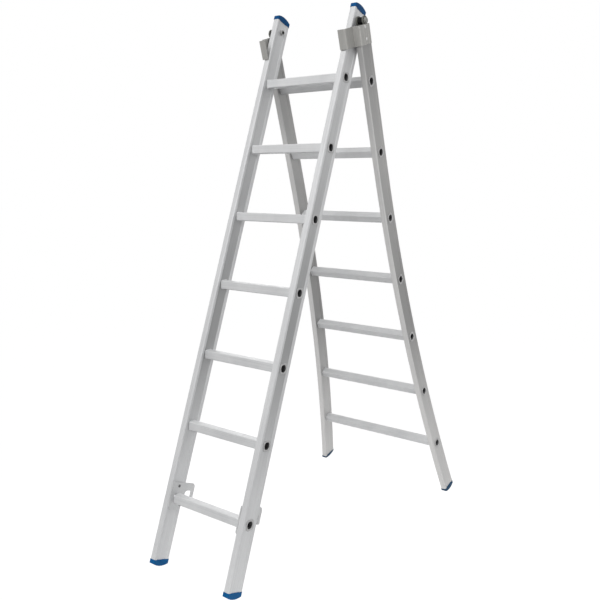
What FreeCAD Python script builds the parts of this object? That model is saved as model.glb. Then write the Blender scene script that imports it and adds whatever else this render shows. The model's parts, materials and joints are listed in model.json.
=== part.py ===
"""Multi position ladder: two seven-rung sections, set up as a free-standing step ladder.

The rear section has stiles that curve outwards to a wide base. The front section is straight and narrower.
It hangs from two flanged rollers, which sit in saddles in the open tops of the rear stiles, and it leans
against the wings of two guide brackets, which stop the ladder from opening further. Hook plates at its foot
would take a rung of the rear section when the two are slid together as one long ladder.

Each section is modelled in its own frame: X across the ladder, Y towards the back of the ladder and
Z up the stiles, from the middle of its lowest rung. The whole stands on Z = 0, in millimetres.
"""
import FreeCAD
import Part

import math
import os

import Sketcher
from FreeCAD import Vector

# Driving dimensions, in millimetres and degrees.
SIZES = {
    # The two sections
    "lean": 18.75,              # of each section from upright, degrees
    "rung_pitch": 250,
    "rung_count": 7,            # in each section
    "front_wide": 354,          # across the front section's stiles
    "nest_gap": 8.6,            # between the nested stiles, on each side
    "sole_below_rung": 229,     # from the lowest rung down to the sole
    "front_tail": 240,          # of the front stiles above the top rung
    "rear_tail": 187,           # of the rear stiles above the top rung
    # Stile section: a hollow extrusion with a shallow groove along both sides
    "stile_wide": 22,
    "stile_deep": 67,
    "stile_wall": 1.6,
    "stile_corner": 2.5,        # cut off
    "groove_deep": 1.5,
    "groove_slope": 2,          # run of the groove's slanted edges
    "flange_front": 10.5,       # flat beside the groove, at the front
    "flange_rear": 15,          # flat beside the groove, at the back
    # Flare of the rear stiles
    "straight_from": 1215,      # height above which they run straight
    "bend_radius": 8832,
    # Rungs
    "rung_side": 30,
    "rung_corner": 10,
    "rung_wall": 1.5,
    "bore_cut": 5.2,            # cut corners of a rung's hollow
    "hole_cut": 5.4,            # cut corners of the holes that rungs pass through
    "rung_gap": 0.2,            # around a rung in those holes
    # Feet and caps
    "dome": 7,                  # rise of the rounded sole or top
    "foot_skirt": 14,
    "rear_foot_skirt": 8,
    "cap_skirt": 13.5,
    "cap_proud": 0.6,           # of the stile, all round
    "cap_corner": 3,
    "plug_long": 25,
    "plug_gap": 0.3,
    "land": 12,                 # length of the flats that the feet stand on
    "tread_count": 5,
    "tread_pitch": 8,
    "tread_wide": 2.5,
    "tread_deep": 1.5,
    # Hook plates, on the inner faces of the front stiles
    "hook_thick": 4,
    "hook_ahead": 33,           # reach ahead of the rungs' line
    "hook_up": 55,
    "hook_fall": 4.4,           # of the top edge towards the tip
    "hook_down": 40,
    "hook_play": 1,             # of a rung in the mouth
    "mouth_up": 25.5,
    "tip_wide": 12,
    "tip_down": 6,
    "hook_cut_wide": 18.3,      # slanted lower corner at the back
    "hook_cut_tall": 19.7,
    "front_cut_wide": 12,       # slanted lower corner at the front
    "front_cut_tall": 14,
    "hook_nose": 14,            # radius of the outer corner
    "mouth_radius": 12,
    "tip_radius": 6,
    # Guide brackets, on the rear stiles
    "bracket_thick": 3.4,
    "bracket_tall": 65,
    "bracket_back": 29,
    "bracket_bend": 5,          # outer radius of its bends
    "bracket_gap": 4,           # beside the front stile
    "wing_reach": 28.4,
    "key_gap": 0.1,             # around the key in the stile's groove
    "stop_gap": 0.3,            # between wing and front stile when the ladder is open
    "flute_count": 3,
    "flute_pitch": 14,
    "flute_wide": 4,
    "flute_deep": 0.8,
    # Pivots
    "pivot_back": 16,           # behind the middle of the rear stile
    "saddle_deep": 1.4,
    "saddle_gap": 0.3,
    "roller_core": 12,
    "roller_flange": 16,
    "flange_thick": 4.5,
    "roller_play": 0.4,         # along the bolt
    "roller_bore_gap": 0.08,
    "bolt_radius": 5,
    "bolt_gap": 0.25,
    "bolt_head_tall": 6,
    "bolt_end": 2,              # of the thread past the nut
    "hex_flats": 17,            # across the bolt's head and the nut
    "nut_tall": 8,
    "nut_gap": 0.05,
}

# Values worked out from the driving dimensions.
LAYOUT = {
    "half_wide": "sizes.stile_wide / 2",
    "half_deep": "sizes.stile_deep / 2",
    "front_outer": "sizes.front_wide / 2",
    "front_inner": "layout.front_outer - sizes.stile_wide",
    "front_middle": "layout.front_outer - layout.half_wide",
    "rear_inner": "layout.front_outer + sizes.nest_gap",
    "rear_outer": "layout.rear_inner + sizes.stile_wide",
    "rear_middle": "layout.rear_inner + layout.half_wide",
    "top_rung": "sizes.rung_pitch * (sizes.rung_count - 1)",
    "front_top": "layout.top_rung + sizes.front_tail",
    "rear_top": "layout.top_rung + sizes.rear_tail",
    # The sole is part of a round bar across the foot, with two flats square to the floor's direction.
    "sole_radius": "(layout.half_deep ^ 2 + sizes.dome ^ 2) / (2 * sizes.dome)",
    "land_reach": "sqrt(layout.sole_radius ^ 2 - (sizes.land / 2) ^ 2)",
    "sole_up": "layout.sole_radius - sizes.sole_below_rung",
    "first_rung_up": "layout.land_reach - layout.sole_up * cos(sizes.lean)",
    # Both sections pass through the pivot, which sets how far apart they stand.
    "rear_pivot": "layout.rear_top - sizes.saddle_deep + sizes.roller_core",
    "front_pivot": "layout.rear_pivot + sizes.pivot_back * tan(sizes.lean)",
    "pivot_spread": "(layout.front_pivot + layout.rear_pivot) * sin(sizes.lean)",
    "half_spread": "(layout.pivot_spread - sizes.pivot_back * cos(sizes.lean)) / 2",
    # Flare of the rear stiles, about a point far outside them
    "bend_across": "layout.rear_middle + sizes.bend_radius",
    "front_end": "sizes.foot_skirt + sizes.dome - sizes.sole_below_rung",
    "rear_end": "sizes.rear_foot_skirt + sizes.dome - sizes.sole_below_rung",
    "flare_angle": "asin((sizes.straight_from - layout.rear_end) / sizes.bend_radius)",
    "flare_across": "layout.bend_across - sizes.bend_radius * cos(layout.flare_angle)",
    # The groove's slanted edges, set inwards by the wall's thickness, move along by this share of it.
    "slope_run": "sqrt(sizes.groove_deep ^ 2 + sizes.groove_slope ^ 2)",
    "slope_share": "(layout.slope_run - sizes.groove_slope) / sizes.groove_deep",
    "groove_ahead": "layout.half_deep - sizes.flange_front - sizes.groove_slope",
    "groove_behind": "layout.half_deep - sizes.flange_rear - sizes.groove_slope",
    # Guide bracket: the lower edge of its wing meets the front stile's face when the ladder is open.
    "bracket_low": "layout.rear_top - sizes.bracket_tall",
    "stop_drop": "layout.rear_pivot - layout.bracket_low",
    "stop_reach": "(layout.half_deep + sizes.stop_gap) / cos(2 * sizes.lean)",
    "wing_inner": "layout.stop_drop * tan(2 * sizes.lean) + layout.stop_reach - sizes.pivot_back",
    "wing_outer": "layout.wing_inner + sizes.bracket_thick",
    "bracket_outer": "layout.rear_outer + sizes.bracket_thick",
    "web_inner": "layout.front_outer + sizes.bracket_gap",
    "web_outer": "layout.web_inner + sizes.bracket_thick",
    "wing_tip": "layout.web_outer - sizes.wing_reach",
    # Pivot, outwards from the floor of the front stile's outer groove
    "roller_inner": "layout.front_outer - sizes.groove_deep + sizes.roller_play",
    "roller_outer": "layout.rear_outer - sizes.groove_deep - sizes.stile_wall - sizes.roller_play",
    "core_inner": "layout.roller_inner + sizes.flange_thick",
    "core_outer": "layout.roller_outer - sizes.flange_thick",
    "head_inner": "layout.roller_outer + sizes.roller_play",
    "nut_outer": "layout.front_inner + sizes.groove_deep",
    "nut_inner": "layout.nut_outer - sizes.nut_tall",
    "bolt_inner": "layout.nut_inner - sizes.bolt_end",
    "hex_reach": "sizes.hex_flats / sqrt(3)",
    "hole_half": "sizes.rung_side / 2 + sizes.rung_gap",
}

SIDES = {"left": -1, "right": 1}
SECTIONS = {"front": "-1", "rear": "1"}

DOC = FreeCAD.newDocument("multi_position_ladder")
NODES = []


def fill_sheet():
    """Writes the driving dimensions into a spreadsheet, one named cell each."""
    sheet = DOC.addObject("Spreadsheet::Sheet", "sizes")
    for row, (name, size) in enumerate(SIZES.items(), start=1):
        sheet.set(f"A{row}", name)
        sheet.set(f"B{row}", str(size))
        sheet.setAlias(f"B{row}", name)
    DOC.recompute()
    return sheet


def work_out_layout():
    """Binds every worked-out value to the spreadsheet through its expression."""
    layout = DOC.addObject("App::VarSet", "layout")
    for name, expression in LAYOUT.items():
        layout.addProperty("App::PropertyFloat", name, "layout")
        layout.setExpression(name, expression)
    DOC.recompute()


SHEET = fill_sheet()
work_out_layout()


def value(expression):
    """The number that an expression in the named values stands for."""
    return float(SHEET.evalExpression(str(expression)))


# Sketches and features ---------------------------------------------------------------------------

def new_body(label):
    """An empty body that will be written as one node."""
    body = DOC.addObject("PartDesign::Body", label)
    body.Label = label
    body.AllowCompound = True
    NODES.append(body)
    return body


def origin_feature(body, role):
    """One of the body's own origin planes or axes."""
    return next(feature for feature in body.Origin.OriginFeatures if feature.Role == role)


def sketch_on(body, role, along="0", across="0", off="0", axis="0; 0; 1", turn="0"):
    """A sketch on an origin plane, moved in the plane, off it, and turned about an axis of its own."""
    sketch = body.newObject("Sketcher::SketchObject", "sketch")
    sketch.AttachmentSupport = [(origin_feature(body, role), "")]
    sketch.MapMode = "FlatFace"
    spot = f"vector({along}; {across}; {off})"
    sketch.setExpression("AttachmentOffset", f"placement({spot}; rotation(vector({axis}); {turn}))")
    return sketch


def bind(sketch, kind, geometry, point, expression):
    """A dimension on a point of the sketch, driven by an expression."""
    index = sketch.addConstraint(Sketcher.Constraint(kind, geometry, point, value(expression)))
    sketch.setExpression(f"Constraints[{index}]", str(expression))


def circle(sketch, across, up, radius):
    """A circle, centred at the given place in the sketch."""
    centre = Vector(value(across), value(up), 0)
    index = sketch.addGeometry(Part.Circle(centre, Vector(0, 0, 1), value(radius)), False)
    bind(sketch, "DistanceX", index, 3, across)
    bind(sketch, "DistanceY", index, 3, up)
    number = sketch.addConstraint(Sketcher.Constraint("Radius", index, value(radius)))
    sketch.setExpression(f"Constraints[{number}]", str(radius))


def rounding(before, corner, after, radius):
    """The arc that rounds a corner: its ends, and the arc itself, drawn anticlockwise."""
    back = (before - corner).normalize()
    ahead = (after - corner).normalize()
    half = back.getAngle(ahead) / 2
    start = corner + back * (radius / math.tan(half))
    end = corner + ahead * (radius / math.tan(half))
    centre = corner + (back + ahead).normalize() * (radius / math.sin(half))
    turns_left = (back.cross(ahead)).z < 0
    first, last = (start, end) if turns_left else (end, start)
    angles = [math.atan2((p - centre).y, (p - centre).x) for p in (first, last)]
    arc = Part.ArcOfCircle(Part.Circle(centre, Vector(0, 0, 1), radius), *angles)
    return start, end, arc, turns_left


def outline(sketch, corners):
    """A closed outline of straight sides, with a tangent arc at each corner that has a radius.

    Each corner is (across, up) or (across, up, radius), as expressions.
    """
    count = len(corners)
    points = [Vector(value(corner[0]), value(corner[1]), 0) for corner in corners]
    starts, ends, arcs = list(points), list(points), {}
    for i, corner in enumerate(corners):
        if len(corner) == 3:
            before, after = points[i - 1], points[(i + 1) % count]
            starts[i], ends[i], arc, turns_left = rounding(before, points[i], after, value(corner[2]))
            arcs[i] = (sketch.addGeometry(arc, False), turns_left)
    sides = [sketch.addGeometry(Part.LineSegment(ends[i], starts[(i + 1) % count]), False)
             for i in range(count)]
    for i, corner in enumerate(corners):
        side_in, side_out = sides[i - 1], sides[i]
        if i not in arcs:
            sketch.addConstraint(Sketcher.Constraint("Coincident", side_in, 2, side_out, 1))
            bind(sketch, "DistanceX", side_out, 1, corner[0])
            bind(sketch, "DistanceY", side_out, 1, corner[1])
            continue
        arc, turns_left = arcs[i]
        first, last = (1, 2) if turns_left else (2, 1)
        apex = sketch.addGeometry(Part.Point(points[i]), True)
        bind(sketch, "DistanceX", apex, 1, corner[0])
        bind(sketch, "DistanceY", apex, 1, corner[1])
        sketch.addConstraint([
            Sketcher.Constraint("PointOnObject", apex, 1, side_in),
            Sketcher.Constraint("PointOnObject", apex, 1, side_out),
            Sketcher.Constraint("Tangent", side_in, 2, arc, first),
            Sketcher.Constraint("Tangent", side_out, 1, arc, last),
        ])
        number = sketch.addConstraint(Sketcher.Constraint("Radius", arc, value(corner[2])))
        sketch.setExpression(f"Constraints[{number}]", str(corner[2]))


def box_corners(low_across, high_across, low_up, high_up, *radius):
    """The corners of a rectangle, rounded where a radius is given."""
    return [(low_across, low_up, *radius), (high_across, low_up, *radius),
            (high_across, high_up, *radius), (low_across, high_up, *radius)]


def cut_square(half, cut):
    """The corners of a square about the sketch's origin, with its corners cut off."""
    short = f"({half} - {cut})"
    return [(half, f"-{short}"), (half, short), (short, half), (f"-{short}", half),
            (f"-({half})", short), (f"-({half})", f"-{short}"), (f"-{short}", f"-({half})"),
            (short, f"-({half})")]


def pad(body, sketch, length, backwards=False, middle=False):
    """Material along the sketch's normal, from one side of it or evenly to both."""
    feature = body.newObject("PartDesign::Pad", "pad")
    feature.Profile = sketch
    feature.setExpression("Length", length)
    feature.Reversed = backwards
    feature.Midplane = middle
    return feature


def pocket(body, sketch, length=None, forwards=False):
    """A cut along the sketch's normal; without a length it passes through everything, both ways."""
    feature = body.newObject("PartDesign::Pocket", "pocket")
    feature.Profile = sketch
    if length is None:
        feature.Type = "ThroughAll"
        feature.Midplane = True
    else:
        feature.setExpression("Length", length)
        feature.Reversed = forwards
    return feature


def pattern(body, kind, features, **settings):
    """Copies of features by a mirror or a pattern, made the body's tip."""
    feature = body.newObject(f"PartDesign::{kind}", kind.lower())
    feature.Originals = features
    for name, setting in settings.items():
        if isinstance(setting, str):
            feature.setExpression(name, setting)
        else:
            setattr(feature, name, setting)
    body.Tip = feature
    return feature


def lower_end(side, inner, outer):
    """Where a slab between two distances from the middle starts, on its own side."""
    return inner if side > 0 else f"-({outer})"


def side_sketch(body, side, inner, outer):
    """A sketch square to X, at the start of a slab on one side of the ladder."""
    return sketch_on(body, "YZ_Plane", off=lower_end(side, inner, outer))


def slab(body, side, inner, outer, draw):
    """Material between two distances from the ladder's middle, on one side of it."""
    sketch = side_sketch(body, side, inner, outer)
    draw(sketch)
    return pad(body, sketch, f"{outer} - ({inner})")


def side_cut(body, side, inner, outer, draw):
    """A cut between two distances from the ladder's middle, on one side of it."""
    sketch = side_sketch(body, side, inner, outer)
    draw(sketch)
    return pocket(body, sketch, f"{outer} - ({inner})", forwards=True)


def cut_across(body, draw):
    """A cut that passes through the body along X."""
    sketch = sketch_on(body, "YZ_Plane")
    draw(sketch)
    return pocket(body, sketch)


def place(body, section, up="0"):
    """Sets a body into its section, at a height above the section's lowest rung."""
    lean = f"({SECTIONS[section]} * sizes.lean)"
    back = f"{SECTIONS[section]} * layout.half_spread - ({up}) * sin{lean}"
    height = f"layout.first_rung_up + ({up}) * cos{lean}"
    body.setExpression("Placement",
                       f"placement(vector(0; {back}; {height}); rotation(vector(1; 0; 0); {lean}))")


# Stiles ------------------------------------------------------------------------------------------

def stile_outline(sketch, side, middle, inset):
    """The stile's section about its middle, set in by the wall's thickness for the hollow."""
    half = f"(layout.half_wide - {inset})"
    floor = f"(layout.half_wide - sizes.groove_deep - {inset})"
    deep = f"(layout.half_deep - {inset})"
    cut = f"(sizes.stile_corner - {inset} * (2 - sqrt(2)))"
    shift = f"{inset} * layout.slope_share"
    front_lip = f"-layout.groove_ahead - sizes.groove_slope - {shift}"
    front_floor = f"-layout.groove_ahead - {shift}"
    rear_floor = f"layout.groove_behind + {shift}"
    rear_lip = f"layout.groove_behind + sizes.groove_slope + {shift}"
    centre = f"{side} * {middle}"
    right = [(f"({half} - {cut})", f"-{deep}"), (half, f"{cut} - {deep}"), (half, front_lip),
             (floor, front_floor), (floor, rear_floor), (half, rear_lip),
             (half, f"{deep} - {cut}"), (f"({half} - {cut})", deep)]
    outline(sketch, [(f"{centre} + {across}", along) for across, along in right]
            + [(f"{centre} - {across}", along) for across, along in reversed(right)])


def stile_sketch(body, side, middle, level):
    """The hollow stile section, drawn at a height of its section."""
    sketch = sketch_on(body, "XY_Plane", off=level)
    stile_outline(sketch, side, middle, "0")
    stile_outline(sketch, side, middle, "sizes.stile_wall")
    return sketch


def draw_rung_hole(sketch):
    """The hole that a rung passes through, with its corners cut off."""
    outline(sketch, cut_square("layout.hole_half", "sizes.hole_cut"))


def rung_holes(body):
    """Square holes across the stile, one for each rung."""
    first = cut_across(body, draw_rung_hole)
    pattern(body, "LinearPattern", [first], Direction=(origin_feature(body, "Z_Axis"), [""]),
            Length="layout.top_rung", Occurrences="sizes.rung_count")


def front_stile(name, side):
    """A straight stile, with holes for the rungs and the pivot bolt."""
    body = new_body(f"front_stile_{name}")
    sketch = stile_sketch(body, side, "layout.front_middle", "layout.front_end")
    pad(body, sketch, "layout.front_top - layout.front_end")
    rung_holes(body)
    cut_across(body, lambda hole: circle(hole, 0, "layout.front_pivot",
                                         "sizes.bolt_radius + sizes.bolt_gap"))
    place(body, "front")


def rear_stile(name, side):
    """A stile that is straight at the top and curves outwards below, with a saddle for the roller."""
    body = new_body(f"rear_stile_{name}")
    sketch = stile_sketch(body, side, "layout.rear_middle", "sizes.straight_from")
    pad(body, sketch, "layout.rear_top - sizes.straight_from")
    bend = stile_sketch(body, side, "layout.rear_middle", "sizes.straight_from")
    ends = [Vector(value(f"{side} * layout.bend_across"), side * back * value("layout.half_deep"), 0)
            for back in (1, -1)]
    axis = bend.addGeometry(Part.LineSegment(*ends), True)
    for point, back in ((1, 1), (2, -1)):
        bind(bend, "DistanceX", axis, point, f"{side} * layout.bend_across")
        bind(bend, "DistanceY", axis, point, f"{side * back} * layout.half_deep")
    flare = body.newObject("PartDesign::Revolution", "flare")
    flare.Profile = bend
    flare.ReferenceAxis = (bend, ["Axis0"])
    flare.setExpression("Angle", "layout.flare_angle")
    rung_holes(body)
    side_cut(body, side, "layout.rear_inner", "layout.rear_middle",
             lambda saddle: circle(saddle, "sizes.pivot_back", "layout.rear_pivot",
                                   "sizes.roller_core + sizes.saddle_gap"))
    place(body, "rear")


# Rungs -------------------------------------------------------------------------------------------

def rung(section, number, outer, tilt):
    """A square hollow rung that passes through both stiles and ends flush with their outer faces.

    The faces are at a distance of outer from the middle at the rung's height, and tilted there.
    """
    body = new_body(f"{section}_rung_{number}")
    half = "sizes.rung_side / 2"
    lean_in = f"{half} * tan({tilt})"
    low, high = f"{outer} + {lean_in}", f"{outer} - {lean_in}"
    sketch = sketch_on(body, "XZ_Plane")
    outline(sketch, [(f"-({low})", f"-{half}"), (low, f"-{half}"), (high, half), (f"-({high})", half)])
    bar = pad(body, sketch, "sizes.rung_side", middle=True)
    DOC.recompute()
    long_edges = [f"Edge{i}" for i, edge in enumerate(bar.Shape.Edges, start=1)
                  if edge.Length > value("sizes.rung_side") * 2]
    rounded = body.newObject("PartDesign::Fillet", "rounded")
    rounded.Base = (bar, long_edges)
    rounded.setExpression("Radius", "sizes.rung_corner")
    bore = sketch_on(body, "YZ_Plane")
    outline(bore, cut_square("(sizes.rung_side / 2 - sizes.rung_wall)", "sizes.bore_cut"))
    pocket(body, bore)
    place(body, section, f"{number - 1} * sizes.rung_pitch")


def rungs():
    """The rungs of both sections: the lower ones of the flared section are longer, with slanted ends."""
    for number in range(1, int(SIZES["rung_count"]) + 1):
        rung("front", number, "layout.front_outer", "0")
        below = f"max(sizes.straight_from - {number - 1} * sizes.rung_pitch; 0)"
        face = "(sizes.bend_radius - layout.half_wide)"
        rung("rear", number, f"(layout.bend_across - sqrt({face} ^ 2 - {below} ^ 2))",
             f"asin({below} / sizes.bend_radius)")


# Feet and caps -----------------------------------------------------------------------------------

def moulding_block(body, centre, level, tilt, length, downwards):
    """The block over the stile's end, and the plug inside it, square to the stile."""
    half = "layout.half_wide + sizes.cap_proud"
    deep = "layout.half_deep + sizes.cap_proud"
    block = sketch_on(body, "XY_Plane", along=centre, off=level, axis="0; 1; 0", turn=tilt)
    outline(block, box_corners(f"-({half})", half, f"-({deep})", deep, "sizes.cap_corner"))
    pad(body, block, length, backwards=downwards)
    inset = "(sizes.stile_wall + sizes.plug_gap)"
    half = f"layout.half_wide - sizes.groove_deep - {inset}"
    deep = f"layout.half_deep - {inset}"
    plug = sketch_on(body, "XY_Plane", along=centre, off=level, axis="0; 1; 0", turn=tilt)
    outline(plug, box_corners(f"-({half})", half, f"-({deep})", deep))
    pad(body, plug, "sizes.plug_long", backwards=not downwards)


def round_end(body, centre_up):
    """Trims the block to a round bar across the ladder, centred at a height of the section."""
    reach = "(layout.sole_radius + sizes.stile_deep)"
    sketch = sketch_on(body, "YZ_Plane", across=centre_up)
    outline(sketch, box_corners(f"-{reach}", reach, f"-{reach}", reach))
    circle(sketch, 0, 0, "layout.sole_radius")
    pocket(body, sketch)


def foot(name, section, centre, level, tilt, skirt):
    """A plastic foot: a round sole with cross grooves and a flat for each way that it leans."""
    body = new_body(f"{section}_foot_{name}")
    moulding_block(body, centre, level, tilt, f"{skirt} + sizes.dome + sizes.foot_skirt", True)
    round_end(body, "layout.sole_up")
    lowest = "-(layout.sole_radius + sizes.dome)"
    flat = sketch_on(body, "YZ_Plane", across="layout.sole_up", turn="sizes.lean")
    outline(flat, box_corners("-sizes.land", "sizes.land", lowest, "-layout.land_reach"))
    pattern(body, "Mirrored", [pocket(body, flat)], MirrorPlane=(origin_feature(body, "XZ_Plane"), [""]))
    step = "(sizes.tread_pitch / layout.sole_radius * 180 / pi)"
    tread = sketch_on(body, "YZ_Plane", across="layout.sole_up",
                      turn=f"{step} * (1 - sizes.tread_count) / 2")
    half = "sizes.tread_wide / 2"
    outline(tread, box_corners(f"-{half}", half, lowest, "sizes.tread_deep - layout.sole_radius"))
    pattern(body, "PolarPattern", [pocket(body, tread)], Axis=(tread, ["N_Axis"]),
            Angle=f"{step} * (sizes.tread_count - 1)", Occurrences="sizes.tread_count")
    place(body, section)


def feet(name, side):
    """The feet on one side: square to the front stile, and tilted with the flare of the rear one."""
    foot(name, "front", f"{side} * layout.front_middle", "layout.front_end", "0", "sizes.foot_skirt")
    foot(name, "rear", f"{side} * layout.flare_across", "layout.rear_end",
         f"{-side} * layout.flare_angle", "sizes.rear_foot_skirt")


def front_cap(name, side):
    """A plastic cap, rounded like a foot, on the top of a front stile."""
    body = new_body(f"front_cap_{name}")
    moulding_block(body, f"{side} * layout.front_middle", "layout.front_top", "0",
                   "sizes.cap_skirt + sizes.dome", False)
    round_end(body, "layout.front_top + sizes.cap_skirt + sizes.dome - layout.sole_radius")
    place(body, "front")


# Hook plates -------------------------------------------------------------------------------------

def draw_hook(sketch):
    """A plate around the lowest rung, with a hook behind the stile that is open downwards."""
    mouth_end = "layout.half_deep + sizes.rung_side + sizes.hook_play"
    tip_end = f"{mouth_end} + sizes.tip_wide"
    outline(sketch, [
        ("-sizes.hook_ahead", "sizes.front_cut_tall - sizes.hook_down"),
        ("sizes.front_cut_wide - sizes.hook_ahead", "-sizes.hook_down"),
        ("layout.half_deep - sizes.hook_cut_wide", "-sizes.hook_down"),
        ("layout.half_deep", "sizes.hook_cut_tall - sizes.hook_down"),
        ("layout.half_deep", "sizes.mouth_up", "sizes.mouth_radius"),
        (mouth_end, "sizes.mouth_up", "sizes.tip_radius"),
        (mouth_end, "-sizes.tip_down"),
        (tip_end, "-sizes.tip_down"),
        (tip_end, "sizes.hook_up - sizes.hook_fall", "sizes.hook_nose"),
        ("-sizes.hook_ahead", "sizes.hook_up"),
    ])
    draw_rung_hole(sketch)


def hook_plate(name, side):
    """The hook plate on the inner face of a front stile."""
    body = new_body(f"hook_plate_{name}")
    slab(body, side, "layout.front_inner - sizes.hook_thick", "layout.front_inner", draw_hook)
    place(body, "front")


# Guide brackets ----------------------------------------------------------------------------------

def bracket_corners():
    """The bracket's stepped section, as distances from the ladder's middle and ahead of the stile.

    A base lies on the rear stile's outer face, with a key in its groove. It turns round the stile's
    front, runs forward beside the front stile and ends in a wing ahead of it.
    """
    bend, crease = "sizes.bracket_bend", "sizes.bracket_bend - sizes.bracket_thick"
    key_floor = "layout.rear_outer - sizes.groove_deep + sizes.key_gap"
    key_back, key_ahead = "-layout.groove_behind + sizes.key_gap", "layout.groove_ahead - sizes.key_gap"
    flutes = []
    for number in range(int(SIZES["flute_count"])):
        middle = f"({number} - (sizes.flute_count - 1) / 2) * sizes.flute_pitch"
        flutes = [("layout.bracket_outer", f"{middle} + sizes.flute_wide / 2"),
                  ("layout.bracket_outer - sizes.flute_deep", middle),
                  ("layout.bracket_outer", f"{middle} - sizes.flute_wide / 2")] + flutes
    return [
        ("layout.rear_outer", "-sizes.bracket_back"),
        ("layout.rear_outer", f"{key_back} - sizes.groove_slope"),
        (key_floor, key_back),
        (key_floor, key_ahead),
        ("layout.rear_outer", f"{key_ahead} + sizes.groove_slope"),
        ("layout.rear_outer", "layout.half_deep", crease),
        ("layout.web_inner", "layout.half_deep", bend),
        ("layout.web_inner", "layout.wing_inner", crease),
        ("layout.wing_tip", "layout.wing_inner"),
        ("layout.wing_tip", "layout.wing_outer"),
        ("layout.web_outer", "layout.wing_outer", bend),
        ("layout.web_outer", "layout.half_deep + sizes.bracket_thick", crease),
        ("layout.bracket_outer", "layout.half_deep + sizes.bracket_thick", bend),
    ] + flutes + [("layout.bracket_outer", "-sizes.bracket_back")]


def guide_bracket(name, side):
    """A bracket of stepped section on the top of a rear stile, which guides and stops the front one."""
    body = new_body(f"guide_bracket_{name}")
    sketch = sketch_on(body, "XY_Plane", off="layout.bracket_low")
    outline(sketch, [(f"{side} * ({corner[0]})", f"-({corner[1]})") + corner[2:]
                     for corner in bracket_corners()])
    pad(body, sketch, "sizes.bracket_tall")
    place(body, "rear")


# Pivots ------------------------------------------------------------------------------------------

def draw_disc(radius):
    """Draws a circle of a radius about the pivot."""
    return lambda sketch: circle(sketch, 0, "layout.front_pivot", radius)


def draw_hexagon(sketch):
    """Draws a hexagon about the pivot, a flat to the front and the back."""
    outline(sketch, [(f"layout.hex_reach * sin({60 * turn})",
                      f"layout.front_pivot + layout.hex_reach * cos({60 * turn})") for turn in range(6)])


def mirror_to_left(body, features):
    """Repeats features of the right side on the left."""
    pattern(body, "Mirrored", features, MirrorPlane=(origin_feature(body, "YZ_Plane"), [""]))


def roller(name, side):
    """A roller with two flanges: its core sits in the saddle, and one flange runs inside the stile."""
    body = new_body(f"pivot_roller_{name}")
    slab(body, side, "layout.roller_inner", "layout.core_inner", draw_disc("sizes.roller_flange"))
    slab(body, side, "layout.core_inner", "layout.core_outer", draw_disc("sizes.roller_core"))
    slab(body, side, "layout.core_outer", "layout.roller_outer", draw_disc("sizes.roller_flange"))
    cut_across(body, draw_disc("sizes.bolt_radius + sizes.roller_bore_gap"))
    place(body, "front")


def pivot_bolts():
    """The bolts that carry the rollers, one on each side, with hexagon heads."""
    body = new_body("pivot_bolts")
    shank = slab(body, 1, "layout.bolt_inner", "layout.head_inner", draw_disc("sizes.bolt_radius"))
    head = slab(body, 1, "layout.head_inner", "layout.head_inner + sizes.bolt_head_tall", draw_hexagon)
    mirror_to_left(body, [shank, head])
    place(body, "front")


def pivot_nuts():
    """The hexagon nuts on the bolts' inner ends, in the front stiles' inner grooves."""
    body = new_body("pivot_nuts")

    def draw(sketch):
        draw_hexagon(sketch)
        circle(sketch, 0, "layout.front_pivot", "sizes.bolt_radius + sizes.nut_gap")

    mirror_to_left(body, [slab(body, 1, "layout.nut_inner", "layout.nut_outer", draw)])
    place(body, "front")


# The whole ladder --------------------------------------------------------------------------------

def build():
    """Makes every piece of both sections."""
    rungs()
    for name, side in SIDES.items():
        front_stile(name, side)
        rear_stile(name, side)
        feet(name, side)
        front_cap(name, side)
        hook_plate(name, side)
        guide_bracket(name, side)
        roller(name, side)
    pivot_bolts()
    pivot_nuts()
    DOC.recompute()


def check():
    """Stops where a feature failed, a cut removed nothing, or a shape is empty or broken."""
    failed = [item.Name for item in DOC.Objects if {"Invalid", "Error"} & set(item.State)]
    if failed:
        raise RuntimeError(f"failed: {failed}")
    for item in DOC.Objects:
        if item.TypeId == "PartDesign::Pocket" and item.Shape.Volume >= item.BaseFeature.Shape.Volume:
            raise RuntimeError(f"{item.Name} cuts nothing")
    for body in NODES:
        if body.Shape.isNull() or not body.Shape.isValid():
            raise RuntimeError(f"{body.Label} has no sound shape")


def write():
    """Writes each piece to a STEP file of its own name."""
    os.makedirs("parts", exist_ok=True)
    for body in NODES:
        body.Shape.exportStep(f"parts/{body.Label}.step")
    print(f"{len(NODES)} pieces written")


build()
check()
write()
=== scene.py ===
"""Looks of the multi position ladder: finishes for its metal and plastic, and its fine details.

The frame brings the solid pieces. This script gives each of them a finish and adds what is too
fine for them: ribbed rungs with rolled rims, collars, rivets, washers, threads and soft edges.
Every new piece is a surface worked out with numpy and set into the ladder's own frame, in metres.
"""

import json
import logging
import math
from collections.abc import Iterable
from dataclasses import dataclass, field
from enum import Enum

import bmesh
import bpy
import numpy as np
from mathutils import Matrix, Vector


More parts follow.
